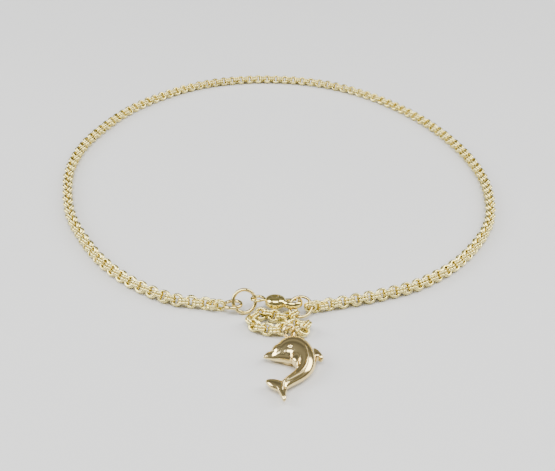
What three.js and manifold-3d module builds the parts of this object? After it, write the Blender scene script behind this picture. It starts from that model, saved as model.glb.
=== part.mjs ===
// Chain anklet with a lobster clasp, a short extension chain and a dolphin charm, lying on a flat surface.
// Millimetres, +Z up. The surface is z = 0 and the anklet's clasp and charm lie at its front, towards -Y.
import * as THREE from 'three';
import Module from 'manifold-3d';
import { mergeVertices } from 'three/addons/utils/BufferGeometryUtils.js';

const wasm = await Module();
wasm.setup();

// Chain: double cable links, each link a pair of round rings side by side.
const chainDiameter = 1.85;
const chainWire = 0.395;
const linkPitch = 0.97;
const pairSpacing = 0.398;
const linkRoll = -30;
const linkSides = 10;
const linkWireSides = 5;
const tubeSides = 8;
const tubeSteps = 80;

// Jump rings, by their outer diameter and their wire.
const endRingDiameter = 2.82;
const claspRingDiameter = 3.62;
const extensionRingDiameter = 3.45;
const charmRingDiameter = 2.36;
const jumpRingWire = 0.5;
const extensionRingWire = 0.42;
const charmRingWire = 0.36;
const ringSides = 24;
const ringWireSides = 6;

// Lobster clasp. Its length runs from the rounded back of the body to the outside of the hook.
const claspLength = 5.3;
const bodyLength = 3;
const claspWidth = 2.95;
const claspThickness = 1.65;
const claspRounding = 0.5;
const hookWire = 0.64;
const hookThickness = 0.9;
const eyeDiameter = 2.12;
const eyeWire = 0.42;
const leverThickness = 0.42;
const leverRootRadius = 0.44;
const leverNoseRadius = 0.2;
const leverGap = 0.1;
const pinDiameter = 0.34;
const pinClearance = 0.08;
const leverRange = 8;
const claspTilt = 14;

// Dolphin charm, flat on its back, with an upright bail soldered to the top of its back.
// The levels are where its outline and its flipper are widest, as shares of its thickness,
// and the undercut is the share that its foot is narrower by.
const dolphinLength = 11.6;
const dolphinThickness = 2.6;
const flukeThickness = 0.8;
const finThickness = 1.1;
const flipperThickness = 1.3;
const outlineLevel = 0.36;
const undercut = 0.35;
const flipperLevel = 0.615;
const bailDiameter = 1.98;
const bailWire = 0.42;
const dolphinSides = 18;

// Edges and steps finer than this are smoothed out of joined solids.
const smallestDetail = 0.004;

// Middle of the anklet's chain on the surface, from the ring at the clasp's hook round to the end ring.
const chainRoute = [
  [5.6, -41.4], [7.3, -40.8], [10.4, -39.8], [13.7, -38.6], [20.3, -35.5], [26.2, -30.6], [31.0, -24.3],
  [34.7, -16.9], [36.4, -8.6], [36.7, -1.6], [35.5, 6.7], [33.0, 14.7], [29.3, 22.5],
  [24.4, 29.5], [18.4, 35.6], [9.9, 40.7], [0.4, 42.8], [-9.3, 41.7], [-18.3, 37.7],
  [-25.8, 30.8], [-31.5, 22.5], [-35.1, 13.5], [-37.2, 4.4], [-37.3, -4.4], [-35.7, -12.7],
  [-33.3, -20.2], [-29.7, -26.8], [-25.5, -32.7], [-20.3, -37.5], [-14.2, -40.9], [-10.7, -41.4],
  [-7.6, -41.9],
];

// Middle of the extension chain, from the ring at the hook round to the charm's ring.
const extensionRoute = [
  [2.56, -43.45], [1.85, -44.1], [0.95, -44.2], [0, -43.9], [-0.95, -43.6], [-2, -43.6], [-2.8, -44.3],
  [-2.98, -45.3], [-2.4, -46.15], [-1.3, -46.55], [-0.2, -46.75], [0.8, -46.6], [1.55, -46], [2.4, -45.65],
  [3.4, -45.45], [4.3, -45.6], [3.82, -46.68],
];

// Where each jump ring's middle lies and which way it faces.
const endRingPlace = { middle: [-5.78, -41.84, 1.02], facing: [-0.08, 0.22, 0.97] };
const claspRingPlace = { middle: [-4.21, -41.74, 1.6], facing: [0.22, -0.8, 0.56] };
const extensionRingPlace = { middle: [3.516, -42.237, 1.384], facing: [-0.078, -0.474, 0.877] };
const charmRingPlace = { middle: [3.05, -47.12, 1.26], facing: [-0.33, 0.85, 0.41] };
const bailPlace = { middle: [1.99, -47.72, 1.52], facing: [0.42, -0.64, 0.64] };
const eyePlace = { middle: [-2.4, -41.12, 1.66], facing: [-0.04, 0.28, 0.96] };
const hookEnd = [3.85, -41.5, 1.52];
const claspMiddle = [hookEnd[0] - claspLength / 2, hookEnd[1], hookEnd[2]];

// The bail's foot is on the dolphin's back, at these shares of its length from the corner of its outline.
const bailFootDirection = new THREE.Vector3(0.2, -0.64, -0.76).normalize();
const bailFoot = new THREE.Vector3(...bailPlace.middle)
  .addScaledVector(bailFootDirection, (bailDiameter - bailWire) / 2 + bailWire * 0.3);
const bailFootShare = [0.187, 1.0093];
const dolphinCorner = [bailFoot.x - bailFootShare[0] * dolphinLength, bailFoot.y - bailFootShare[1] * dolphinLength];

// Dolphin's sections from the beak to the tail, as shares of its length from its corner:
// back X and Y, belly X and Y, then the height as a share of its thickness.
const dolphinSections = [
  [-0.108, 0.668, -0.104, 0.652, 0.13],
  [-0.073, 0.729, -0.068, 0.644, 0.22],
  [-0.039, 0.747, -0.029, 0.633, 0.28],
  [-0.006, 0.774, 0.006, 0.623, 0.38],
  [0.028, 0.828, 0.046, 0.613, 0.6],
  [0.069, 0.888, 0.093, 0.603, 0.8],
  [0.12, 0.943, 0.135, 0.594, 0.92],
  [0.191, 0.982, 0.176, 0.583, 0.98],
  [0.271, 0.981, 0.213, 0.571, 1],
  [0.343, 0.941, 0.243, 0.55, 0.99],
  [0.402, 0.877, 0.261, 0.52, 0.95],
  [0.447, 0.784, 0.266, 0.487, 0.88],
  [0.47, 0.68, 0.253, 0.453, 0.78],
  [0.467, 0.571, 0.217, 0.41, 0.66],
  [0.434, 0.463, 0.172, 0.372, 0.56],
  [0.372, 0.372, 0.131, 0.335, 0.47],
  [0.292, 0.3, 0.104, 0.301, 0.41],
  [0.218, 0.245, 0.083, 0.265, 0.36],
  [0.17, 0.2, 0.073, 0.227, 0.31],
  [0.148, 0.168, 0.07, 0.19, 0.25],
];

// Outlines of the two tail flukes, the back fin and the flipper, counter-clockwise in the same shares.
const finOutlines = {
  leftFluke: [[-0.042, 0.226], [0.003, 0.186], [0.056, 0.158], [0.074, 0.148], [0.133, 0.183], [0.136, 0.236],
    [0.109, 0.287], [0.068, 0.309], [0.022, 0.317], [-0.03, 0.316], [-0.067, 0.305], [-0.07, 0.286]],
  rightFluke: [[0.065, 0.153], [0.075, 0.128], [0.094, 0.077], [0.126, 0.007], [0.151, 0.027], [0.151, 0.095],
    [0.159, 0.158], [0.151, 0.21], [0.113, 0.245], [0.081, 0.211]],
  backFin: [[0.542, 0.707], [0.506, 0.772], [0.464, 0.818], [0.421, 0.824], [0.426, 0.707], [0.473, 0.64],
    [0.497, 0.666], [0.522, 0.629], [0.554, 0.656]],
  flipper: [[0.277, 0.486], [0.298, 0.555], [0.303, 0.635], [0.268, 0.679], [0.214, 0.67], [0.191, 0.617],
    [0.2, 0.538], [0.237, 0.484], [0.26, 0.421]],
};

// Layers of a fin from its underside to its top: the outline's scale, and the height as a share of its thickness.
const finLayers = [[0.55, 0], [0.86, 0.14], [1, 0.45], [0.94, 0.72], [0.74, 0.9], [0.4, 1]];
const finWidest = 0.45;

const gold = new THREE.MeshStandardMaterial({ color: 0xd8b46a, metalness: 1, roughness: 0.22 });
const chainGold = new THREE.MeshStandardMaterial({ color: 0xd9bd7c, metalness: 1, roughness: 0.3 });
const polishedGold = new THREE.MeshStandardMaterial({ color: 0xd2a65a, metalness: 1, roughness: 0.1 });

// A geometry with the vertices along its seams merged, made before it is moved to its place.
function closed(geometry) {
  geometry.deleteAttribute('normal');
  geometry.deleteAttribute('uv');
  return mergeVertices(geometry, 1e-4);
}

// A closed geometry as a solid that can be joined and cut.
function toSolid(geometry) {
  const vertProperties = Float32Array.from(geometry.attributes.position.array);
  const triVerts = Uint32Array.from(geometry.index.array);
  return new wasm.Manifold(new wasm.Mesh({ numProp: 3, vertProperties, triVerts }));
}

// A joined solid as a geometry, without the slivers that joining leaves.
function toGeometry(solid) {
  const mesh = solid.simplify(smallestDetail).getMesh();
  const geometry = new THREE.BufferGeometry();
  geometry.setAttribute('position', new THREE.BufferAttribute(mesh.vertProperties, 3));
  geometry.setIndex(new THREE.BufferAttribute(mesh.triVerts, 1));
  geometry.computeVertexNormals();
  return geometry;
}

function fuse(solids) {
  return solids.reduce((whole, next) => whole.add(next));
}

// A ring of round wire by its outer diameter, its middle and the direction that it faces.
function ringGeometry(diameter, wire, place, sides, wireSides) {
  const ring = closed(new THREE.TorusGeometry((diameter - wire) / 2, wire / 2, wireSides, sides));
  const facing = new THREE.Vector3(...place.facing).normalize();
  ring.applyQuaternion(new THREE.Quaternion().setFromUnitVectors(new THREE.Vector3(0, 0, 1), facing));
  return ring.translate(...place.middle);
}

function jumpRing(name, diameter, wire, place) {
  const mesh = new THREE.Mesh(ringGeometry(diameter, wire, place, ringSides, ringWireSides), gold);
  mesh.name = name;
  return mesh;
}

// The chain's own thickness rests on the surface, so its middle is half of that above it.
function routeCurve(route) {
  const points = route.map(([x, y]) => new THREE.Vector3(x, y, chainDiameter / 2));
  return new THREE.CatmullRomCurve3(points, false, 'centripetal');
}

function polygon(sides, acrossFlats) {
  const radius = acrossFlats / 2 / Math.cos(Math.PI / sides);
  const points = [];
  for (let i = 0; i < sides; i += 1) {
    const angle = ((i + 0.5) / sides) * 2 * Math.PI;
    points.push(new THREE.Vector2(radius * Math.cos(angle), radius * Math.sin(angle)));
  }
  return new THREE.Shape(points);
}

function mainChain() {
  const geometry = new THREE.ExtrudeGeometry(polygon(tubeSides, chainDiameter), {
    steps: tubeSteps, extrudePath: routeCurve(chainRoute), bevelEnabled: false,
  });
  const mesh = new THREE.Mesh(geometry, chainGold);
  mesh.name = 'main_chain';
  return mesh;
}

// Links along a route, each pair of rings turned a quarter about the chain from the last one.
function linkPlaces(route) {
  const curve = routeCurve(route);
  const last = Math.round(curve.getLength() / linkPitch);
  const up = new THREE.Vector3(0, 0, 1);
  const places = [];
  for (let i = 0; i <= last; i += 1) {
    const middle = curve.getPointAt(i / last);
    const along = curve.getTangentAt(i / last);
    const facing = new THREE.Vector3().crossVectors(up, along).normalize();
    facing.applyAxisAngle(along, THREE.MathUtils.degToRad(linkRoll + 90 * (i % 2)));
    for (const side of [-0.5, 0.5]) {
      const place = middle.clone().addScaledVector(facing, side * pairSpacing);
      places.push({ middle: place.toArray(), facing: facing.toArray() });
    }
  }
  return places;
}

// The links are fused where they bear on each other, and the pockets sealed between them are filled.
function extensionChain() {
  const rings = linkPlaces(extensionRoute).map((place) => (
    toSolid(ringGeometry(chainDiameter, chainWire, place, linkSides, linkWireSides))
  ));
  const links = fuse(rings).decompose().sort((a, b) => b.volume() - a.volume());
  const mesh = new THREE.Mesh(toGeometry(links[0]), chainGold);
  mesh.name = 'extension_chain';
  return mesh;
}

// A plate with a rounded edge, cut from an outline and centred on z = 0.
function plate(outline, thickness, rounding) {
  const geometry = new THREE.ExtrudeGeometry(outline, {
    depth: thickness - 2 * rounding, bevelEnabled: rounding > 0, bevelThickness: rounding,
    bevelSize: rounding, bevelOffset: -rounding, bevelSegments: 3, curveSegments: 10,
  });
  return closed(geometry).translate(0, 0, rounding - thickness / 2);
}

// The clasp in its own frame: +X towards the hook's end, +Y towards the lever, middle at the origin.
const bodyCentreX = (bodyLength - claspLength) / 2;
const hookRoot = 0.37;
const hookRadiusX = (claspLength - bodyLength - hookWire) / 2 + hookRoot;
const hookRadiusY = (claspWidth - hookWire) / 2;
const hookCentreX = claspLength / 2 - hookWire / 2 - hookRadiusX;
const leverPivot = [bodyCentreX + 0.5, claspWidth * 0.12];
const leverTip = [hookCentreX + 0.45, claspWidth * 0.31];

function bodyOutline() {
  const shape = new THREE.Shape();
  shape.absellipse(bodyCentreX, 0, bodyLength / 2, claspWidth / 2, 0, 2 * Math.PI);
  return shape;
}

// The hook is a bar of oval section, bent round the clasp's opening.
function hookBar() {
  const from = THREE.MathUtils.degToRad(-165);
  const to = THREE.MathUtils.degToRad(58);
  const bend = new THREE.EllipseCurve(hookCentreX, 0, hookRadiusX, hookRadiusY, from, to);
  const path = new THREE.CatmullRomCurve3(bend.getPoints(24).map(({ x, y }) => new THREE.Vector3(x, y, 0)));
  const section = new THREE.Shape();
  section.absellipse(0, 0, hookThickness / 2, hookWire / 2, 0, 2 * Math.PI);
  return closed(new THREE.ExtrudeGeometry(section, {
    steps: 24, extrudePath: path, bevelEnabled: false, curveSegments: 6,
  }));
}

// The lever's outline, grown by a clearance for the slot that it swings in.
function leverOutline(grow) {
  const root = leverRootRadius + grow;
  const end = leverNoseRadius + grow;
  const reach = new THREE.Vector2(leverTip[0] - leverPivot[0], leverTip[1] - leverPivot[1]);
  const heading = reach.angle();
  const spread = Math.acos((root - end) / reach.length());
  const shape = new THREE.Shape();
  shape.absarc(leverPivot[0], leverPivot[1], root, heading + spread, heading - spread + 2 * Math.PI, false);
  shape.absarc(leverTip[0], leverTip[1], end, heading - spread, heading + spread, false);
  shape.closePath();
  return shape;
}

function turnedAboutPivot(geometry, degrees) {
  geometry.translate(-leverPivot[0], -leverPivot[1], 0);
  geometry.rotateZ(THREE.MathUtils.degToRad(degrees));
  return geometry.translate(leverPivot[0], leverPivot[1], 0);
}

function pinSolid(diameter, length) {
  const pin = closed(new THREE.CylinderGeometry(diameter / 2, diameter / 2, length, 16));
  pin.rotateX(Math.PI / 2);
  return toSolid(pin.translate(leverPivot[0], leverPivot[1], 0));
}

// The clasp's frame on the surface: tipped so that the side away from the lever is raised.
const claspFrame = new THREE.Matrix4().compose(
  new THREE.Vector3(...claspMiddle),
  new THREE.Quaternion().setFromAxisAngle(new THREE.Vector3(1, 0, 0), THREE.MathUtils.degToRad(-claspTilt)),
  new THREE.Vector3(1, 1, 1),
);

function inClaspFrame(solid, name) {
  const mesh = new THREE.Mesh(toGeometry(solid).applyMatrix4(claspFrame), polishedGold);
  mesh.name = name;
  return mesh;
}

// The cast body, hook and eye are one piece, slotted for the lever, with the hinge pin riveted in it.
function claspBody() {
  const toFrame = claspFrame.clone().invert();
  const eye = ringGeometry(eyeDiameter, eyeWire, eyePlace, ringSides, ringWireSides).applyMatrix4(toFrame);
  const neckFrom = new THREE.Vector3(...eyePlace.middle).applyMatrix4(toFrame);
  neckFrom.x += (eyeDiameter - eyeWire) / 2;
  const neckTo = new THREE.Vector3(bodyCentreX - 1, 0, 0);
  const neck = new THREE.ExtrudeGeometry(polygon(tubeSides, eyeWire * 1.4), {
    steps: 1, extrudePath: new THREE.LineCurve3(neckFrom, neckTo), bevelEnabled: false,
  });
  let body = fuse([
    toSolid(plate(bodyOutline(), claspThickness, claspRounding)),
    toSolid(hookBar()),
    toSolid(eye),
    toSolid(closed(neck)),
  ]);
  const slotDepth = leverThickness + 2 * leverGap;
  for (const degrees of [0, -0.33 * leverRange, -0.67 * leverRange, -leverRange]) {
    body = body.subtract(toSolid(turnedAboutPivot(plate(leverOutline(leverGap), slotDepth, 0), degrees)));
  }
  body = body.add(pinSolid(pinDiameter, claspThickness * 0.9));
  return inClaspFrame(body, 'clasp_body');
}

function claspLever() {
  const lever = toSolid(plate(leverOutline(0), leverThickness, 0.12));
  const hole = pinSolid(pinDiameter + 2 * pinClearance, claspThickness);
  return inClaspFrame(lever.subtract(hole), 'clasp_lever');
}

// A section of the dolphin's body from its back edge to its belly edge: domed above its widest level,
// drawn in by the undercut below it, and flat on the surface where it is deep.
function dolphinSection([backX, backY, bellyX, bellyY, rise], around) {
  const back = new THREE.Vector2(backX, backY).multiplyScalar(dolphinLength);
  const belly = new THREE.Vector2(bellyX, bellyY).multiplyScalar(dolphinLength);
  const height = rise * dolphinThickness * (1 - outlineLevel);
  const points = [];
  for (let i = 0; i < around; i += 1) {
    const angle = (i / around) * 2 * Math.PI;
    const lift = Math.max(0, outlineLevel * dolphinThickness + height * Math.sin(angle));
    const depth = Math.max(0, 1 - lift / (outlineLevel * dolphinThickness));
    const spot = back.clone().lerp(belly, 0.5 - 0.5 * Math.cos(angle) * (1 - undercut * depth));
    points.push(new THREE.Vector3(spot.x + dolphinCorner[0], spot.y + dolphinCorner[1], lift));
  }
  return points;
}

// Closed body through rings of points, with a fan over each end.
function loft(rings) {
  const around = rings[0].length;
  const positions = rings.flat().flatMap((point) => point.toArray());
  const index = [];
  for (let r = 0; r + 1 < rings.length; r += 1) {
    for (let i = 0; i < around; i += 1) {
      const next = (i + 1) % around;
      const [a, b] = [r * around + i, r * around + next];
      index.push(a, b, b + around, a, b + around, a + around);
    }
  }
  const last = (rings.length - 1) * around;
  for (let i = 1; i + 1 < around; i += 1) {
    index.push(0, i + 1, i);
    index.push(last, last + i, last + i + 1);
  }
  const geometry = new THREE.BufferGeometry();
  geometry.setAttribute('position', new THREE.BufferAttribute(new Float32Array(positions), 3));
  geometry.setIndex(index);
  return geometry;
}

// Sections between those of the table, on a smooth curve through each column.
function smoothRows(rows, steps) {
  const columns = rows[0].map((_, column) => rows.map((row) => row[column]));
  const count = (rows.length - 1) * steps + 1;
  return Array.from({ length: count }, (_, i) => columns.map((column) => {
    const at = i / steps;
    const k = Math.min(Math.floor(at), rows.length - 2);
    const [before, after] = [column[Math.max(k - 1, 0)], column[Math.min(k + 2, rows.length - 1)]];
    return THREE.MathUtils.lerp(column[k], column[k + 1], at - k)
      + (at - k) * (1 - (at - k)) * 0.25 * (column[k] + column[k + 1] - before - after);
  }));
}

// A fin as a rounded leaf, widest at its level, which is a share of the dolphin's thickness.
function finSolid(outline, thickness, level) {
  const points = outline.map(([x, y]) => new THREE.Vector3(x, y, 0).multiplyScalar(dolphinLength));
  const edge = new THREE.CatmullRomCurve3(points, true).getPoints(outline.length * 3).slice(0, -1);
  const centre = edge.reduce((sum, point) => sum.add(point), new THREE.Vector3()).divideScalar(edge.length);
  return toSolid(loft(finLayers.map(([scale, height]) => edge.map((point) => {
    const lift = level * dolphinThickness + (height - finWidest) * thickness;
    return point.clone().lerp(centre, 1 - scale).add(new THREE.Vector3(dolphinCorner[0], dolphinCorner[1], lift));
  }))));
}

// The charm is one casting: body, flukes, back fin and flipper, with the bail soldered to its back.
function dolphinCharm() {
  const rings = smoothRows(dolphinSections, 2).map((row) => dolphinSection(row, dolphinSides));
  const bail = ringGeometry(bailDiameter, bailWire, bailPlace, ringSides, ringWireSides);
  const foot = closed(new THREE.SphereGeometry(bailWire * 1.15, 12, 8));
  foot.translate(...bailFoot.toArray());
  const solid = fuse([
    toSolid(loft(rings)),
    finSolid(finOutlines.leftFluke, flukeThickness, outlineLevel),
    finSolid(finOutlines.rightFluke, flukeThickness, outlineLevel),
    finSolid(finOutlines.backFin, finThickness, outlineLevel),
    finSolid(finOutlines.flipper, flipperThickness, flipperLevel),
    toSolid(bail),
    toSolid(foot),
  ]);
  const mesh = new THREE.Mesh(toGeometry(solid), polishedGold);
  mesh.name = 'dolphin_charm';
  return mesh;
}

const pieces = new THREE.Group();
pieces.add(mainChain());
pieces.add(extensionChain());
pieces.add(jumpRing('end_ring', endRingDiameter, jumpRingWire, endRingPlace));
pieces.add(jumpRing('clasp_ring', claspRingDiameter, jumpRingWire, claspRingPlace));
pieces.add(jumpRing('extension_ring', extensionRingDiameter, extensionRingWire, extensionRingPlace));
pieces.add(jumpRing('charm_ring', charmRingDiameter, charmRingWire, charmRingPlace));
pieces.add(claspBody());
pieces.add(claspLever());
pieces.add(dolphinCharm());

// The origin is the middle of the anklet's footprint, on the surface that it lies on.
pieces.updateMatrixWorld(true);
const box = new THREE.Box3().setFromObject(pieces, true);
const middle = box.getCenter(new THREE.Vector3());
pieces.position.set(-middle.x, -middle.y, -box.min.z);

const anklet = new THREE.Group();
anklet.add(pieces);

export default anklet;
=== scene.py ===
"""Looks of a fine gold chain anklet with a lobster clasp and a dolphin charm.

Sizes and routes are in the source's own millimetres, and go to metres as each piece is made.
"""
import math

import bpy
import numpy as np
from mathutils import Matrix, Vector


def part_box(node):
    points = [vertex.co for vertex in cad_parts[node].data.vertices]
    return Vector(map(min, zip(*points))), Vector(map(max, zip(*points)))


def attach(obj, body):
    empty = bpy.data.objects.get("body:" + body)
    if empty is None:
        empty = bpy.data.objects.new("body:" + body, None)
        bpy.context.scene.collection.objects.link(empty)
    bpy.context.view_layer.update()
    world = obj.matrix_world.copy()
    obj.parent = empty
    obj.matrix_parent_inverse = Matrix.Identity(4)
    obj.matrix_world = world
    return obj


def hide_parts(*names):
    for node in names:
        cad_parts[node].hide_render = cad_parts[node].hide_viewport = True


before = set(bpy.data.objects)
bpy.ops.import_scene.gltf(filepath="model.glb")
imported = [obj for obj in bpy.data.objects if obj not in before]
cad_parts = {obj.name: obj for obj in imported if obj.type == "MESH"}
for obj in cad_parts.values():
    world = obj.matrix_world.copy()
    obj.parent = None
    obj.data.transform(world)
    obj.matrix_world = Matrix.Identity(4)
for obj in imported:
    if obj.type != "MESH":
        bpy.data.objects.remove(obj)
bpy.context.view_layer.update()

# Surface, light and camera
# The anklet lies on a plain pale surface under large soft boxes.
# The camera stands at the photograph's angle, close in, so the loop is wide in front and narrow behind.
mm = 0.001
end_ring_place = ((-5.78, -41.84, 1.02), (-0.08, 0.22, 0.97))
end_ring_low, end_ring_high = (Vector(corner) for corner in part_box("end_ring"))
source_origin = (end_ring_low + end_ring_high) / 2 - Vector(end_ring_place[0]) * mm
source_origin.z = 0


def to_part(points):
    """Source millimetres to metres in the part's frame."""
    return np.asarray(points, dtype=float) * mm + np.array(source_origin)


camera_pitch = math.radians(32.57)
camera_roll = math.radians(2.125)
camera_place = (0.0, -126.5, 66.6)
lit_spot = Vector((0, -0.02, 0))
camera_data = bpy.data.cameras.new("camera")
camera_data.sensor_width = 36
camera_data.lens = 50.4
camera_data.clip_start = 0.005
camera = bpy.data.objects.new("camera", camera_data)
bpy.context.collection.objects.link(camera)
forward = Vector((0, math.cos(camera_pitch), -math.sin(camera_pitch)))
level = Vector((1, 0, 0))
above = level.cross(forward)
across = level * math.cos(camera_roll) + above * math.sin(camera_roll)
upward = above * math.cos(camera_roll) - level * math.sin(camera_roll)
turn = Matrix((across, upward, -forward)).transposed().to_4x4()
camera.matrix_world = Matrix.Translation(Vector(to_part(camera_place))) @ turn
bpy.context.scene.camera = camera

# Name, place and size in metres, power in watts, and colour.
soft_boxes = [
    ("soft_box_left", (-0.60, -0.02, 0.42), (0.40, 0.46), 6.0, (0.99, 1.0, 1.0)),
    ("soft_box_right", (0.58, 0.14, 0.50), (0.34, 0.62), 6.4, (1.0, 1.0, 0.98)),
    ("soft_box_top", (0.0, -0.26, 0.70), (0.60, 0.34), 6.6, (1.0, 1.0, 1.0)),
]
for name, where, size, power, colour in soft_boxes:
    light = bpy.data.lights.new(name, "AREA")
    light.shape = "RECTANGLE"
    light.size, light.size_y = size
    light.energy = power
    light.color = colour
    lamp = bpy.data.objects.new(name, light)
    bpy.context.collection.objects.link(lamp)
    lamp.location = where
    lamp.rotation_mode = "QUATERNION"
    lamp.rotation_quaternion = (lit_spot - Vector(where)).to_track_quat("-Z", "Y")

world = bpy.data.worlds.new("studio")
bpy.context.scene.world = world
world.use_nodes = True
sky = world.node_tree
sky.nodes.clear()
sky_way = sky.nodes.new("ShaderNodeTexCoord")
sky_height = sky.nodes.new("ShaderNodeSeparateXYZ")
sky_tones = sky.nodes.new("ShaderNodeValToRGB")
sky_light = sky.nodes.new("ShaderNodeBackground")
sky_out = sky.nodes.new("ShaderNodeOutputWorld")
sky.links.new(sky_way.outputs["Generated"], sky_height.inputs["Vector"])
sky.links.new(sky_height.outputs["Z"], sky_tones.inputs["Fac"])
sky.links.new(sky_tones.outputs["Color"], sky_light.inputs["Color"])
sky.links.new(sky_light.outputs["Background"], sky_out.inputs["Surface"])
tones = [
    (0.0, (0.46, 0.46, 0.46)), (0.14, (0.20, 0.195, 0.19)), (0.36, (0.17, 0.165, 0.16)),
    (0.52, (0.40, 0.395, 0.39)), (0.70, (0.14, 0.14, 0.145)), (0.95, (0.36, 0.36, 0.37)),
]
while len(sky_tones.color_ramp.elements) < len(tones):
    sky_tones.color_ramp.elements.new(0.5)
for element, (at, tone) in zip(sky_tones.color_ramp.elements, tones):
    element.position = at
    element.color = (*tone, 1)
sky_light.inputs["Strength"].default_value = 1.0


def add_node(tree, kind, **values):
    """A node with its input sockets set by name."""
    node = tree.nodes.new(kind)
    for socket, value in values.items():
        node.inputs[socket.replace("_", " ")].default_value = value
    return node


floor_size = 3.0
floor_corners = [(x * floor_size, y * floor_size, 0) for x, y in ((-1, -1), (1, -1), (1, 1), (-1, 1))]
floor_mesh = bpy.data.meshes.new("surface")
floor_mesh.from_pydata(floor_corners, [], [(0, 1, 2, 3)])
floor = bpy.data.objects.new("surface", floor_mesh)
bpy.context.collection.objects.link(floor)
floor_paint = bpy.data.materials.new("surface_paint")
floor_paint.use_nodes = True
tree = floor_paint.node_tree
paint = tree.nodes["Principled BSDF"]
paint.inputs["Roughness"].default_value = 0.5
paint.inputs["Specular IOR Level"].default_value = 0.3
cloud = add_node(tree, "ShaderNodeTexNoise", Scale=18.0, Detail=3.0)
spot = tree.nodes.new("ShaderNodeTexCoord")
paint_tones = tree.nodes.new("ShaderNodeValToRGB")
paint_tones.color_ramp.elements[0].color = (0.70, 0.70, 0.695, 1)
paint_tones.color_ramp.elements[1].color = (0.735, 0.735, 0.73, 1)
tree.links.new(spot.outputs["Object"], cloud.inputs["Vector"])
tree.links.new(cloud.outputs["Fac"], paint_tones.inputs["Fac"])
tree.links.new(paint_tones.outputs["Color"], paint.inputs["Base Color"])
floor_mesh.materials.append(floor_paint)

# Main chain
# Double cable chain of 14 carat gold wire: every link is a pair of round soldered rings side by side.
# Each pair hooks through the next and is turned a quarter about the chain, so it lies like a fine rope.
chain_diameter = 1.85
chain_wire = 0.38
pair_spacing = 0.386
link_pitch = 1.006
chain_height = 0.86
lying_roll = 45
roll_sway = 7
height_sway = (-0.01, 0.03)
first_settling, last_settling = 5, 8
chain_route = [
    (5.6, -41.4), (7.3, -40.8), (10.4, -39.8), (13.7, -38.6), (20.3, -35.5), (26.2, -30.6), (31.0, -24.3),
    (34.7, -16.9), (36.4, -8.6), (36.7, -1.6), (35.5, 6.7), (33.0, 14.7), (29.3, 22.5),
    (24.4, 29.5), (18.4, 35.6), (9.9, 40.7), (0.4, 42.8), (-9.3, 41.7), (-18.3, 37.7),
    (-25.8, 30.8), (-31.5, 22.5), (-35.1, 13.5), (-37.2, 4.4), (-37.3, -4.4), (-35.7, -12.7),
    (-33.3, -20.2), (-29.7, -26.8), (-25.5, -32.7), (-20.3, -37.5), (-14.2, -40.9), (-10.7, -41.4),
    (-7.6, -41.9),
]


def smooth_route(points, steps=24):
    """Centripetal curve through points, finely sampled."""
    points = np.asarray(points, dtype=float)
    ends = np.vstack([2 * points[0] - points[1], points, 2 * points[-1] - points[-2]])
    share = np.linspace(0, 1, steps, endpoint=False)[:, None]
    samples = []
    for p0, p1, p2, p3 in zip(ends, ends[1:], ends[2:], ends[3:]):
        d0, d1, d2 = (math.sqrt(np.linalg.norm(b - a)) for a, b in ((p0, p1), (p1, p2), (p2, p3)))
        t1 = ((p1 - p0) / d0 - (p2 - p0) / (d0 + d1) + (p2 - p1) / d1) * d1
        t2 = ((p2 - p1) / d1 - (p3 - p1) / (d1 + d2) + (p3 - p2) / d2) * d1
        samples.append(p1 + t1 * share + (3 * (p2 - p1) - 2 * t1 - t2) * share**2
                       + (2 * (p1 - p2) + t1 + t2) * share**3)
    return np.vstack([*samples, points[-1:]])


def even_places(samples, count):
    """Middles and directions of count places at even distances along a sampled curve."""
    steps = np.linalg.norm(np.diff(samples, axis=0), axis=1)
    run = np.concatenate([[0], np.cumsum(steps)])
    wanted = np.linspace(0, run[-1], count)
    middles = np.stack([np.interp(wanted, run, samples[:, k]) for k in range(3)], axis=1)
    reach = run[-1] / count / 4
    ahead = np.stack([np.interp(wanted + reach, run, samples[:, k]) for k in range(3)], axis=1)
    behind = np.stack([np.interp(wanted - reach, run, samples[:, k]) for k in range(3)], axis=1)
    along = ahead - behind
    return middles, along / np.linalg.norm(along, axis=1)[:, None]


def rolled_facings(along, rolls):
    """The way that each ring faces: level and square to the chain, then rolled about it."""
    side = np.cross((0, 0, 1), along)
    side /= np.linalg.norm(side, axis=1)[:, None]
    up = np.cross(along, side)
    angle = np.radians(rolls)[:, None]
    return side * np.cos(angle) + up * np.sin(angle)


def ring_points(middles, facings, starts, diameter, wire, around, sides):
    """Vertices and faces of closed rings of round wire, for many rings at once."""
    turn_angle = np.linspace(0, 2 * math.pi, around, endpoint=False)
    wire_angle = np.linspace(0, 2 * math.pi, sides, endpoint=False)
    facings = facings / np.linalg.norm(facings, axis=1)[:, None]
    first = starts - facings * np.sum(starts * facings, axis=1)[:, None]
    first /= np.linalg.norm(first, axis=1)[:, None]
    second = np.cross(facings, first)
    outward = (first[:, None, :] * np.cos(turn_angle)[None, :, None]
               + second[:, None, :] * np.sin(turn_angle)[None, :, None])
    radius = (diameter - wire) / 2
    verts = (middles[:, None, None, :]
             + outward[:, :, None, :] * (radius + wire / 2 * np.cos(wire_angle))[None, None, :, None]
             + facings[:, None, None, :] * (wire / 2 * np.sin(wire_angle))[None, None, :, None])
    i, j = np.meshgrid(np.arange(around), np.arange(sides), indexing="ij")
    a, b = i * sides + j, ((i + 1) % around) * sides + j
    c, d = ((i + 1) % around) * sides + (j + 1) % sides, i * sides + (j + 1) % sides
    one = np.stack([a, b, c, d], axis=-1).reshape(-1, 4)
    faces = (one[None, :, :] + (np.arange(len(middles)) * around * sides)[:, None, None]).reshape(-1, 4)
    return verts.reshape(-1, 3), faces


def double_links(middles, facings, starts, around, sides):
    """Vertices and faces of links, each a pair of rings side by side."""
    apart = facings * pair_spacing / 2
    return ring_points(
        np.vstack([middles - apart, middles + apart]), np.vstack([facings, facings]),
        np.vstack([starts, starts]), chain_diameter, chain_wire, around, sides)


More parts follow.
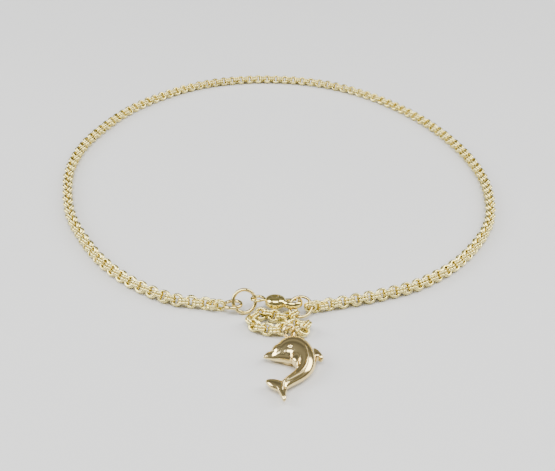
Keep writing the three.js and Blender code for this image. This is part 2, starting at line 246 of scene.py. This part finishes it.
def finished(name, mesh, material, body):
    """A smooth mesh as a piece that rides on a body and takes its finish from a slot."""
    mesh.materials.clear()
    mesh.materials.append(material)
    mesh.polygons.foreach_set("use_smooth", [True] * len(mesh.polygons))
    mesh.update()
    piece = bpy.data.objects.new(name, mesh)
    bpy.context.collection.objects.link(piece)
    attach(piece, body)
    return piece


def metal_piece(name, verts, faces, material, body):
    """A piece made from its points in metres and its faces."""
    if isinstance(faces, np.ndarray):
        faces = faces.tolist()
    mesh = bpy.data.meshes.new(name)
    mesh.from_pydata(np.asarray(verts).tolist(), [], faces)
    return finished(name, mesh, material, body)


def polish_group():
    """Handled polished gold: a tone that drifts, a soft haze and fine marks of wear."""
    group = bpy.data.node_groups.new("handled_polish", "ShaderNodeTree")
    face = group.interface
    for label, kind, value in (
            ("Tone", "NodeSocketColor", (0.8, 0.6, 0.3, 1)),
            ("Deep Tone", "NodeSocketColor", (0.6, 0.4, 0.2, 1)),
            ("Drift Scale", "NodeSocketFloat", 400.0),
            ("Roughness", "NodeSocketFloat", 0.1),
            ("Haze", "NodeSocketFloat", 0.05),
            ("Mark Scale", "NodeSocketFloat", 3000.0),
            ("Mark Depth", "NodeSocketFloat", 0.05)):
        socket = face.new_socket(name=label, in_out="INPUT", socket_type=kind)
        socket.default_value = value
    face.new_socket(name="Color", in_out="OUTPUT", socket_type="NodeSocketColor")
    face.new_socket(name="Roughness", in_out="OUTPUT", socket_type="NodeSocketFloat")
    face.new_socket(name="Normal", in_out="OUTPUT", socket_type="NodeSocketVector")
    given = group.nodes.new("NodeGroupInput")
    result = group.nodes.new("NodeGroupOutput")
    spot = group.nodes.new("ShaderNodeTexCoord")
    link = group.links.new

    drift = add_node(group, "ShaderNodeTexNoise", Detail=2.0)
    link(spot.outputs["Object"], drift.inputs["Vector"])
    link(given.outputs["Drift Scale"], drift.inputs["Scale"])
    blend = group.nodes.new("ShaderNodeMix")
    blend.data_type = "RGBA"
    link(drift.outputs["Fac"], blend.inputs["Factor"])
    link(given.outputs["Tone"], blend.inputs["A"])
    link(given.outputs["Deep Tone"], blend.inputs["B"])
    blended = next(out for out in blend.outputs if out.type == "RGBA")
    link(blended, result.inputs["Color"])

    marks = add_node(group, "ShaderNodeTexNoise", Detail=4.0, Roughness=0.65)
    link(spot.outputs["Object"], marks.inputs["Vector"])
    link(given.outputs["Mark Scale"], marks.inputs["Scale"])
    haze = group.nodes.new("ShaderNodeMath")
    haze.operation = "MULTIPLY_ADD"
    link(marks.outputs["Fac"], haze.inputs[0])
    link(given.outputs["Haze"], haze.inputs[1])
    link(given.outputs["Roughness"], haze.inputs[2])
    link(haze.outputs["Value"], result.inputs["Roughness"])
    bump = add_node(group, "ShaderNodeBump", Distance=0.00002)
    link(given.outputs["Mark Depth"], bump.inputs["Strength"])
    link(marks.outputs["Fac"], bump.inputs["Height"])
    link(bump.outputs["Normal"], result.inputs["Normal"])
    return group


handled_polish = polish_group()


def gold(name, **values):
    """A gold material: the shader is its own, and the polish group gives tone, haze and marks."""
    material = bpy.data.materials.new(name)
    material.use_nodes = True
    tree = material.node_tree
    shader = tree.nodes["Principled BSDF"]
    shader.inputs["Metallic"].default_value = 1.0
    polish = tree.nodes.new("ShaderNodeGroup")
    polish.node_tree = handled_polish
    for socket, value in values.items():
        polish.inputs[socket.replace("_", " ")].default_value = value
    tree.links.new(polish.outputs["Color"], shader.inputs["Base Color"])
    tree.links.new(polish.outputs["Roughness"], shader.inputs["Roughness"])
    tree.links.new(polish.outputs["Normal"], shader.inputs["Normal"])
    return material


chain_gold = gold(
    "chain_gold", Tone=(0.92, 0.81, 0.35, 1), Deep_Tone=(0.85, 0.71, 0.24, 1), Drift_Scale=260.0,
    Roughness=0.16, Haze=0.12, Mark_Scale=2600.0, Mark_Depth=0.12)

chain_samples = smooth_route([(x, y, chain_height) for x, y in chain_route])
chain_length = np.sum(np.linalg.norm(np.diff(chain_samples, axis=0), axis=1))
link_count = round(chain_length / link_pitch) + 1
link_middles, link_along = even_places(chain_samples, link_count)
chance = np.random.RandomState(11)
order = np.arange(link_count)
# The first and last few pairs turn by degrees, from lying aslant to facing the rings that they hook.
near_first = np.clip((first_settling - order) / first_settling, 0, 1)
near_last = np.clip((order - (link_count - last_settling - 1)) / last_settling, 0, 1)
settle = near_last * lying_roll + near_first * lying_roll
link_rolls = -lying_roll + 90 * (order % 2) + settle + chance.uniform(-roll_sway, roll_sway, link_count)
link_facings = rolled_facings(link_along, link_rolls)
link_middles[:, 2] += chance.uniform(*height_sway, link_count)
# One more pair, raised off the surface, joins the chain's right end to the ring in the hook.
joining_middle, joining_facing, joining_start = (4.86, -42.02, 1.32), (-0.14, 0.94, 0.3), (1, 0, 0)
middles = np.vstack([link_middles, joining_middle])
facings = np.vstack([link_facings, joining_facing])
starts = np.vstack([link_along, joining_start])
facings /= np.linalg.norm(facings, axis=1)[:, None]
chain_points, chain_faces = double_links(middles, facings, starts, around=20, sides=8)
main_chain = metal_piece(
    "main_chain_links", to_part(chain_points), chain_faces, chain_gold, "anklet")
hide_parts("main_chain")

# Jump rings
# Four rings of round gold wire join the chain, the clasp, the extension and the charm.
# Each is bent from wire and closed, so a fine joint shows where its two ends meet.
ring_gold = gold(
    "ring_gold", Tone=(0.84, 0.71, 0.30, 1), Deep_Tone=(0.66, 0.50, 0.17, 1), Drift_Scale=300.0,
    Roughness=0.10, Haze=0.10, Mark_Scale=2400.0, Mark_Depth=0.10)
joint_gap = 0.035
chamfer_length = 0.04
chamfered_end = 0.86


def bent_ring(place, diameter, wire, joint_at, around=72, sides=18):
    """An open ring of round wire whose chamfered ends all but meet at joint_at degrees."""
    middle, facing = (np.array(part, dtype=float) for part in place)
    facing /= np.linalg.norm(facing)
    first = np.cross((0, 1, 0), facing)
    first /= np.linalg.norm(first)
    second = np.cross(facing, first)
    radius = (diameter - wire) / 2
    half_gap = joint_gap / 2 / radius
    chamfer = chamfer_length / radius
    last = 2 * math.pi - half_gap
    full_round = np.linspace(half_gap + chamfer, last - chamfer, around)
    turns = np.concatenate([[half_gap], full_round, [last]]) + math.radians(joint_at)
    swell = np.concatenate([[chamfered_end], np.ones(around), [chamfered_end]])
    wire_angle = np.linspace(0, 2 * math.pi, sides, endpoint=False)
    outward = first * np.cos(turns)[:, None] + second * np.sin(turns)[:, None]
    reach = radius + swell[:, None] * wire / 2 * np.cos(wire_angle)
    lift = swell[:, None] * wire / 2 * np.sin(wire_angle)
    verts = middle + outward[:, None, :] * reach[:, :, None] + facing * lift[:, :, None]
    count = len(turns)
    faces = []
    for i in range(0, (count - 1) * sides, sides):
        for j, k in zip(range(sides), [*range(1, sides), 0]):
            faces.append((i + j, i + sides + j, i + sides + k, i + k))
    faces.append(tuple(range(sides)))
    faces.append(tuple(reversed(range((count - 1) * sides, count * sides))))
    return verts.reshape(-1, 3), faces


# Node, middle and facing, outer diameter, wire, and where round the ring its joint is, in degrees.
jump_rings = [
    ("end_ring", end_ring_place, 2.82, 0.5, 200),
    ("clasp_ring", ((-4.21, -41.74, 1.6), (0.22, -0.8, 0.56)), 3.62, 0.5, 60),
    ("extension_ring", ((3.516, -42.237, 1.384), (-0.078, -0.474, 0.877)), 3.45, 0.42, 100),
    ("charm_ring", ((3.05, -47.12, 1.26), (-0.33, 0.85, 0.41)), 2.36, 0.36, 150),
]
for node, place, diameter, wire, joint_at in jump_rings:
    points, faces = bent_ring(place, diameter, wire, joint_at)
    ring = metal_piece(f"{node}_wire", to_part(points), faces, ring_gold, "anklet")
    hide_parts(node)

# Lobster clasp, cast body
# A cast and mirror polished body with its hook and eye in one piece, pillowed on both faces.
# The lever's slot is cut through it, and a riveted pin crosses the slot.
clasp_gold = gold(
    "clasp_gold", Tone=(0.90, 0.78, 0.31, 1), Deep_Tone=(0.78, 0.62, 0.20, 1), Drift_Scale=220.0,
    Roughness=0.07, Haze=0.08, Mark_Scale=1800.0, Mark_Depth=0.06)
clasp_length = 5.3
body_length = 3.0
clasp_width = 2.95
clasp_thickness = 1.65
hook_wire = 0.64
hook_thickness = 0.9
lever_thickness = 0.42
lever_root_radius = 0.44
lever_nose_radius = 0.2
lever_gap = 0.1
lever_range = 8
pin_diameter = 0.34
pin_clearance = 0.08
pin_head = 0.12
clasp_middle = (1.2, -41.5, 1.52)
clasp_tilt = -14
clasp_frame = (Matrix.Translation(Vector(to_part(clasp_middle)))
               @ Matrix.Rotation(math.radians(clasp_tilt), 4, "X") @ Matrix.Scale(mm, 4))
body_centre_x = (body_length - clasp_length) / 2
hook_radius = (1.2, (clasp_width - hook_wire) / 2)
hook_centre_x = clasp_length / 2 - hook_wire / 2 - hook_radius[0]
lever_pivot = (body_centre_x + 0.5, clasp_width * 0.12)
lever_tip = (hook_centre_x + 0.45, clasp_width * 0.31)


def tube_between(rows):
    """Vertices and faces of a closed body through rows of points, with a flat end on each."""
    count, sides = len(rows), len(rows[0])
    verts = [tuple(point) for row in rows for point in row]
    faces = []
    for i in range(0, (count - 1) * sides, sides):
        for j, k in zip(range(sides), [*range(1, sides), 0]):
            faces.append((i + j, i + k, i + sides + k, i + sides + j))
    faces.append(tuple(reversed(range(sides))))
    faces.append(tuple(range((count - 1) * sides, count * sides)))
    return verts, faces


def pillow(centre, radii, fullness, rows=28, sides=64):
    """A cushion-shaped solid: an oval from above, full at its edge and gently domed."""
    levels = np.linspace(-0.5, 0.5, rows) * math.pi * 0.995
    around = np.linspace(0, 2 * math.pi, sides, endpoint=False)
    return tube_between([
        [(centre[0] + radii[0] * math.cos(v) ** fullness * math.cos(u),
          centre[1] + radii[1] * math.cos(v) ** fullness * math.sin(u),
          centre[2] + radii[2] * math.sin(v)) for u in around] for v in levels])


def lever_outline(grow, degrees=0.0, steps=20):
    """The lever seen from above: a long drop about its pivot, turned by degrees."""
    root, end = lever_root_radius + grow, lever_nose_radius + grow
    reach = Vector(lever_tip) - Vector(lever_pivot)
    heading = math.atan2(reach.y, reach.x)
    spread = math.acos((root - end) / reach.length)
    points = []
    for centre, radius, start, stop in (
            (lever_pivot, root, heading + spread, heading - spread + 2 * math.pi),
            (lever_tip, end, heading - spread, heading + spread)):
        for k in range(steps + 1):
            angle = start + (stop - start) * k / steps
            points.append((centre[0] + radius * math.cos(angle), centre[1] + radius * math.sin(angle)))
    swing = Matrix.Rotation(math.radians(degrees), 2)
    pivot = Vector(lever_pivot)
    return [tuple(pivot + swing @ (Vector(point) - pivot)) for point in points]


def slab(outline, thickness, rounding=0.0):
    """A plate of an outline about z = 0, with a rounded edge."""
    half = thickness / 2
    levels = [(-half, 0.0), (half, 0.0)]
    if rounding:
        turns = [math.radians(15 * k) for k in range(7)]
        edge = [(-half + rounding - rounding * math.cos(t), rounding - rounding * math.sin(t)) for t in turns]
        levels = edge + [(-z, inset) for z, inset in reversed(edge)]
    rows = []
    for z, inset in levels:
        row = []
        for k, point in enumerate(outline):
            before, after = Vector(outline[k - 1]), Vector(outline[(k + 1) % len(outline)])
            edge_way = (after - before).normalized()
            inward = Vector((-edge_way.y, edge_way.x))
            spot = Vector(point) + inward * inset
            row.append((spot.x, spot.y, z))
        rows.append(row)
    return tube_between(rows)


def local_mesh(name, parts):
    """One mesh of several closed parts, in the maker's millimetres."""
    verts, faces = [], []
    for part_verts, part_faces in parts:
        base = len(verts)
        verts += [tuple(v) for v in part_verts]
        faces += [tuple(int(i) + base for i in face) for face in part_faces]
    mesh = bpy.data.meshes.new(name)
    mesh.from_pydata(verts, [], faces)
    return mesh


def cast(name, parts, cuts, voxel, rounds):
    """Parts grown together, cut, and tumbled smooth as one casting."""
    rough = bpy.data.objects.new(f"{name}_rough", local_mesh(f"{name}_rough", parts))
    bpy.context.collection.objects.link(rough)
    union = rough.modifiers.new("grow together", "REMESH")
    union.mode = "VOXEL"
    union.voxel_size = voxel
    helpers = [rough]
    if cuts:
        cutter = bpy.data.objects.new(f"{name}_cutter", local_mesh(f"{name}_cutter", cuts))
        bpy.context.collection.objects.link(cutter)
        helpers.append(cutter)
        swept = cutter.modifiers.new("sweep together", "REMESH")
        swept.mode = "VOXEL"
        swept.voxel_size = voxel * 0.8
        boolean = rough.modifiers.new("cut", "BOOLEAN")
        boolean.operation = "DIFFERENCE"
        boolean.solver = "FAST"
        boolean.object = cutter
        again = rough.modifiers.new("even out", "REMESH")
        again.mode = "VOXEL"
        again.voxel_size = voxel
    tumble = rough.modifiers.new("tumble", "SMOOTH")
    tumble.factor = 0.5
    tumble.iterations = rounds
    view = bpy.context.evaluated_depsgraph_get()
    mesh = bpy.data.meshes.new_from_object(rough.evaluated_get(view))
    mesh.name = name
    for helper in helpers:
        old = helper.data
        bpy.data.objects.remove(helper)
        bpy.data.meshes.remove(old)
    return mesh


# The eye is a ring of its own wire, given in the anklet's millimetres and carried into the clasp's frame.
eye_place = ((-2.4, -41.12, 1.66), (-0.04, 0.28, 0.96))
eye_diameter = 2.12
eye_wire = 0.44
to_clasp = clasp_frame.inverted()
eye_middle = to_clasp @ Vector(to_part(eye_place[0]))
eye_facing = (to_clasp.to_3x3() @ Vector(eye_place[1])).normalized()
eye_ring = ring_points(
    np.array([eye_middle]), np.array([eye_facing]), np.array([[1.0, 0, 0]]), eye_diameter, eye_wire, 64, 16)

# The hook runs round in an open oval, thickest where it leaves the body, to a rounded nose.
hook_start, hook_stop = -172, 60
hook_root_share, hook_taper, nose_share = 1.22, 0.24, 0.07
hook_steps = 60
hook_around = np.linspace(0, 2 * math.pi, 28, endpoint=False)
hook_rows = []
for k in range(hook_steps + 1):
    share = k / hook_steps
    angle = math.radians(hook_start + (hook_stop - hook_start) * share)
    middle = Vector((hook_centre_x + hook_radius[0] * math.cos(angle), hook_radius[1] * math.sin(angle), 0))
    way = Vector((-hook_radius[0] * math.sin(angle), hook_radius[1] * math.cos(angle), 0)).normalized()
    out = Vector((way.y, -way.x, 0))
    nose = math.sqrt(max(0.02, 1 - max(0.0, (share - 1 + nose_share) / nose_share) ** 2))
    slim = (hook_root_share - hook_taper * share) * nose
    half_wide, half_thick = hook_wire / 2 * slim, hook_thickness / 2 * slim
    hook_rows.append([middle + out * (half_wide * math.cos(t)) + Vector((0, 0, half_thick * math.sin(t)))
                      for t in hook_around])

# The neck widens from the eye's wire into the body.
neck_radius, neck_widening, neck_depth = 0.24, 0.16, 0.9
neck_around = np.linspace(0, 2 * math.pi, 20, endpoint=False)
neck_from = eye_middle + Vector(((eye_diameter - eye_wire) / 2, 0, 0))
neck_to = Vector((body_centre_x - neck_depth, 0, 0))
neck_rows = []
for share in (0.0, 0.35, 0.7, 1.0):
    middle = neck_from.lerp(neck_to, share)
    radius = neck_radius + neck_widening * share
    neck_rows.append([middle + Vector((0, radius * math.cos(t), radius * math.sin(t))) for t in neck_around])
body_parts = [
    pillow((body_centre_x, 0, 0), (body_length / 2, clasp_width / 2, clasp_thickness / 2), 0.5),
    tube_between(hook_rows), eye_ring, tube_between(neck_rows),
]
# The slot is the lever's own outline, swept through its swing with a gap round it.
swing_steps = 6
slot_width = lever_thickness + 2 * lever_gap
body_cuts = [slab(lever_outline(lever_gap, -lever_range * k / swing_steps), slot_width)
             for k in range(swing_steps + 1)]
# A shallow dish in the upper face.
dish_middle, dish_lift, dish_depth = (body_centre_x - 0.12, -0.05), 0.6, 0.17
dish_radii = (0.95, 0.85, dish_lift + dish_depth)
body_cuts.append(pillow((*dish_middle, clasp_thickness / 2 + dish_lift), dish_radii, 1.0))
body_mesh = cast("clasp_body_casting", body_parts, body_cuts, voxel=0.035, rounds=5)
body_mesh.transform(clasp_frame)
clasp_body = finished("clasp_body_casting", body_mesh, clasp_gold, "anklet")
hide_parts("clasp_body")


def pin_between(low, high, radius, head):
    """A round pin with a low domed head hammered on each end."""
    dome = [(0.5, 0.5), (0.35, 1.1), (0.0, 1.45)]
    profile = [(low - head * out, radius * wide) for out, wide in dome]
    profile += [(low, radius), (high, radius)]
    profile += [(high + head * out, radius * wide) for out, wide in reversed(dome)]
    around = np.linspace(0, 2 * math.pi, 32, endpoint=False)
    x, y = lever_pivot
    return tube_between([[(x + r * math.cos(t), y + r * math.sin(t), z) for t in around] for z, r in profile])


face_height = clasp_thickness / 2 * 0.96
pin_mesh = local_mesh("clasp_pin", [pin_between(-face_height, face_height, pin_diameter / 2, pin_head)])
pin_mesh.transform(clasp_frame)
finished("clasp_pin", pin_mesh, clasp_gold, "anklet")

# Lobster clasp, lever
# A stamped and polished lever on the pin, which a spring would hold shut.
# Its root turns in the body's slot, and its tip closes the hook's mouth.
lever_rounding = 0.12


def with_hole(outline, thickness, rounding, radius, centre, sides=48):
    """A rounded plate with a round hole through it."""
    plate = bpy.data.objects.new("plate", local_mesh("plate", [slab(outline, thickness, rounding)]))
    around = np.linspace(0, 2 * math.pi, sides, endpoint=False)
    x, y = centre
    drill_rows = [[(x + radius * math.cos(t), y + radius * math.sin(t), z) for t in around]
                  for z in (-thickness, thickness)]
    drill = bpy.data.objects.new("drill", local_mesh("drill", [tube_between(drill_rows)]))
    for helper in (plate, drill):
        bpy.context.collection.objects.link(helper)
    bore = plate.modifiers.new("bore", "BOOLEAN")
    bore.operation = "DIFFERENCE"
    bore.solver = "EXACT"
    bore.object = drill
    mesh = bpy.data.meshes.new_from_object(plate.evaluated_get(bpy.context.evaluated_depsgraph_get()))
    for helper in (plate, drill):
        old = helper.data
        bpy.data.objects.remove(helper)
        bpy.data.meshes.remove(old)
    return mesh


hole_radius = pin_diameter / 2 + pin_clearance
lever_mesh = with_hole(
    lever_outline(0.0, steps=28), lever_thickness, lever_rounding, hole_radius, lever_pivot)
lever_mesh.transform(clasp_frame)
clasp_lever = finished("clasp_lever_plate", lever_mesh, clasp_gold, "lever")
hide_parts("clasp_lever")

# Extension chain
# A short length of the same double cable chain, from the ring in the hook to the charm's ring.
# It lies in a loose S below the clasp.
extension_route = [
    (2.56, -43.45), (1.85, -44.1), (0.95, -44.2), (0, -43.9), (-0.95, -43.6), (-2, -43.6), (-2.8, -44.3),
    (-2.98, -45.3), (-2.4, -46.15), (-1.3, -46.55), (-0.2, -46.75), (0.8, -46.6), (1.55, -46), (2.4, -45.65),
    (3.4, -45.45), (4.3, -45.6), (3.82, -46.68),
]
extension_links = 18
extension_roll = -30
extension_samples = smooth_route([(x, y, chain_diameter / 2) for x, y in extension_route])
middles, along = even_places(extension_samples, extension_links)
rolls = extension_roll + 90 * (np.arange(extension_links) % 2)
facings = rolled_facings(along, rolls)
extension_points, extension_faces = double_links(middles, facings, along, around=32, sides=12)
extension = metal_piece(
    "extension_chain_links", to_part(extension_points), extension_faces, chain_gold, "anklet")
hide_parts("extension_chain")

# Dolphin charm
# One gold casting, domed in front and flat behind, polished to a mirror.
# A bail is soldered upright to the top of its back.
charm_gold = gold(
    "charm_gold", Tone=(0.93, 0.77, 0.38, 1), Deep_Tone=(0.82, 0.62, 0.26, 1), Drift_Scale=160.0,
    Roughness=0.075, Haze=0.09, Mark_Scale=1500.0, Mark_Depth=0.06)
dolphin_length = 11.6
dolphin_thickness = 2.6
dolphin_corner = (0.0, -60.0)
# Back X and Y, belly X and Y, and height, as shares of the length and the thickness, from beak to tail.
dolphin_sections = [
    (-0.108, 0.668, -0.104, 0.652, 0.13), (-0.073, 0.729, -0.068, 0.644, 0.22),
    (-0.039, 0.747, -0.029, 0.633, 0.28), (-0.006, 0.774, 0.006, 0.623, 0.38),
    (0.028, 0.828, 0.046, 0.613, 0.6), (0.069, 0.888, 0.093, 0.603, 0.8),
    (0.12, 0.943, 0.135, 0.594, 0.92), (0.191, 0.982, 0.176, 0.583, 0.98),
    (0.271, 0.981, 0.213, 0.571, 1.0), (0.343, 0.941, 0.243, 0.55, 0.99),
    (0.402, 0.877, 0.261, 0.52, 0.95), (0.447, 0.784, 0.266, 0.487, 0.88),
    (0.47, 0.68, 0.253, 0.453, 0.78), (0.467, 0.571, 0.217, 0.41, 0.66),
    (0.434, 0.463, 0.172, 0.372, 0.56), (0.372, 0.372, 0.131, 0.335, 0.47),
    (0.292, 0.3, 0.104, 0.301, 0.41), (0.218, 0.245, 0.083, 0.265, 0.36),
    (0.17, 0.2, 0.073, 0.227, 0.31), (0.148, 0.168, 0.07, 0.19, 0.25),
]
outline_level = 0.36
undercut = 0.35
fin_steps = 8
fin_crown = 84
fin_fullness = 0.6
fin_widest = 0.45
# Each fin's thickness in millimetres, the level of its widest part as a share of the dolphin's thickness,
# and its outline in shares of the dolphin's length.
dolphin_fins = [
    (0.8, outline_level, [(-0.042, 0.226), (0.003, 0.186), (0.056, 0.158), (0.074, 0.148), (0.133, 0.183),
                          (0.136, 0.236), (0.109, 0.287), (0.068, 0.309), (0.022, 0.317), (-0.03, 0.316),
                          (-0.067, 0.305), (-0.07, 0.286)]),
    (0.8, outline_level, [(0.065, 0.153), (0.075, 0.128), (0.094, 0.077), (0.126, 0.007), (0.151, 0.027),
                          (0.151, 0.095), (0.159, 0.158), (0.151, 0.21), (0.113, 0.245), (0.081, 0.211)]),
    (1.1, outline_level, [(0.542, 0.707), (0.506, 0.772), (0.464, 0.818), (0.421, 0.824), (0.41, 0.72),
                          (0.445, 0.655), (0.495, 0.662), (0.524, 0.634), (0.55, 0.658)]),
    (1.3, 0.615, [(0.277, 0.486), (0.298, 0.555), (0.303, 0.635), (0.268, 0.679), (0.214, 0.67),
                  (0.191, 0.617), (0.2, 0.538), (0.237, 0.484), (0.26, 0.421)]),
]


def between_rows(rows, steps):
    """Rows between those of a table, on a smooth curve through each column."""
    table = np.asarray(rows, dtype=float)
    finer = []
    for at in np.linspace(0, len(table) - 1, (len(table) - 1) * steps + 1):
        k = min(int(at), len(table) - 2)
        share = at - k
        before, after = table[max(k - 1, 0)], table[min(k + 2, len(table) - 1)]
        finer.append(table[k] * (1 - share) + table[k + 1] * share
                     + share * (1 - share) * 0.25 * (table[k] + table[k + 1] - before - after))
    return finer


body_rows = []
for back_x, back_y, belly_x, belly_y, rise in between_rows(dolphin_sections, 6):
    back = np.array((back_x, back_y)) * dolphin_length + dolphin_corner
    belly = np.array((belly_x, belly_y)) * dolphin_length + dolphin_corner
    row = []
    for t in np.linspace(0, 2 * math.pi, 56, endpoint=False):
        level = max(0.0, outline_level + rise * (1 - outline_level) * math.sin(t))
        depth = max(0.0, 1 - level / outline_level)
        spot = back + (belly - back) * (0.5 - 0.5 * math.cos(t) * (1 - undercut * depth))
        row.append((*spot, dolphin_thickness * level))
    body_rows.append(row)
dolphin_parts = [tube_between([row[::-1] for row in body_rows])]
for thickness, level, outline in dolphin_fins:
    # A few points are laid over at both ends, so the closed outline is smooth where it meets itself.
    lapped = np.vstack([outline[-2:], outline, outline[:3]])
    sampled = smooth_route([(x, y, 0) for x, y in lapped], fin_steps)[2 * fin_steps:, :2]
    edge = sampled[:len(outline) * fin_steps] * dolphin_length + dolphin_corner
    centre = edge.mean(axis=0)
    rows = []
    for v in np.linspace(-1, 1, 15) * math.radians(fin_crown):
        scale = math.cos(v) ** fin_fullness
        lift = level * dolphin_thickness + thickness * (fin_widest if v < 0 else 1 - fin_widest) * math.sin(v)
        rows.append([(*(centre + (point - centre) * scale), lift) for point in edge])
    dolphin_parts.append(tube_between(rows))
upper = np.array([point for row in body_rows for point in row[1:28]])


def on_top(shares, sink=0.0, steps=10):
    """A smooth line on the dolphin's domed side, from shares of its length. A sink below zero raises it."""
    line = smooth_route([(x, y, 0) for x, y in shares], steps)[:, :2] * dolphin_length + dolphin_corner
    heights = []
    for spot in line:
        away = np.sum((upper[:, :2] - spot) ** 2, axis=1)
        near = np.argsort(away)[:6]
        heights.append(np.average(upper[near, 2], weights=1 / (away[near] + 0.002)))
    heights = np.convolve(np.pad(heights, 4, mode="edge"), np.ones(9) / 9, mode="valid")
    return np.column_stack([line, heights - sink])


def bead_line(line, widest):
    """A round tube along a line, tapered to both ends."""
    rows = []
    for k, point in enumerate(line):
        way = Vector(line[min(k + 1, len(line) - 1)] - line[max(k - 1, 0)]).normalized()
        side = way.cross(Vector((0, 0, 1))).normalized()
        lift = side.cross(way)
        radius = widest * (0.25 + 0.75 * math.sin(math.pi * (k + 0.5) / len(line)) ** 0.5)
        rows.append([Vector(point) + (side * math.cos(t) + lift * math.sin(t)) * radius
                     for t in np.linspace(0, 2 * math.pi, 12, endpoint=False)])
    return tube_between(rows)


def blob(share_x, share_y, level, radii, sides=72, rows=44):
    """A rounded swelling on the dolphin at shares of its length, with its own radii in millimetres."""
    x, y = np.array((share_x, share_y)) * dolphin_length + dolphin_corner
    z = level * dolphin_thickness
    wide, long, high = radii
    around = np.linspace(0, 2 * math.pi, sides, endpoint=False)
    return tube_between([
        [(x + wide * math.cos(v) * math.cos(u), y + long * math.cos(v) * math.sin(u), z + high * math.sin(v))
         for u in around] for v in np.linspace(-1.54, 1.54, rows)])


# The forehead and the cheek, whose undersides reach a little below the flat back.
swelling_level = 0.40
dolphin_parts.append(blob(0.072, 0.735, swelling_level, (1.12, 1.2, 1.15)))
dolphin_parts.append(blob(0.175, 0.702, swelling_level, (1.4, 1.15, 1.38)))
flank_ridge = [(0.345, 0.72), (0.359, 0.644), (0.369, 0.559), (0.354, 0.476), (0.311, 0.393), (0.237, 0.331),
               (0.171, 0.282), (0.125, 0.245), (0.114, 0.182), (0.133, 0.088), (0.14, 0.045)]
ridge_sink, ridge_radius = -0.1, 0.19
eye_spot = [(0.160, 0.712), (0.180, 0.716), (0.200, 0.718)]
eye_radius = 0.2
dolphin_parts.append(bead_line(on_top(flank_ridge, ridge_sink), ridge_radius))
dolphin_parts.append(bead_line(on_top(eye_spot), eye_radius))
dolphin_mesh = cast("dolphin_casting", dolphin_parts, [], voxel=0.045, rounds=44)
dolphin_mesh.transform(Matrix.Translation(source_origin) @ Matrix.Scale(mm, 4))
dolphin = finished("dolphin_casting", dolphin_mesh, charm_gold, "anklet")
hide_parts("dolphin_charm")

bail_place = ((1.99, -47.72, 1.52), (0.42, -0.64, 0.64))
bail_diameter = 1.98
bail_wire = 0.42
bail_points, bail_faces = ring_points(
    np.array([bail_place[0]]), np.array([bail_place[1]]), np.array([(1.0, 0, 0)]), bail_diameter, bail_wire,
    64, 18)
metal_piece("charm_bail", to_part(bail_points), bail_faces, charm_gold, "anklet")
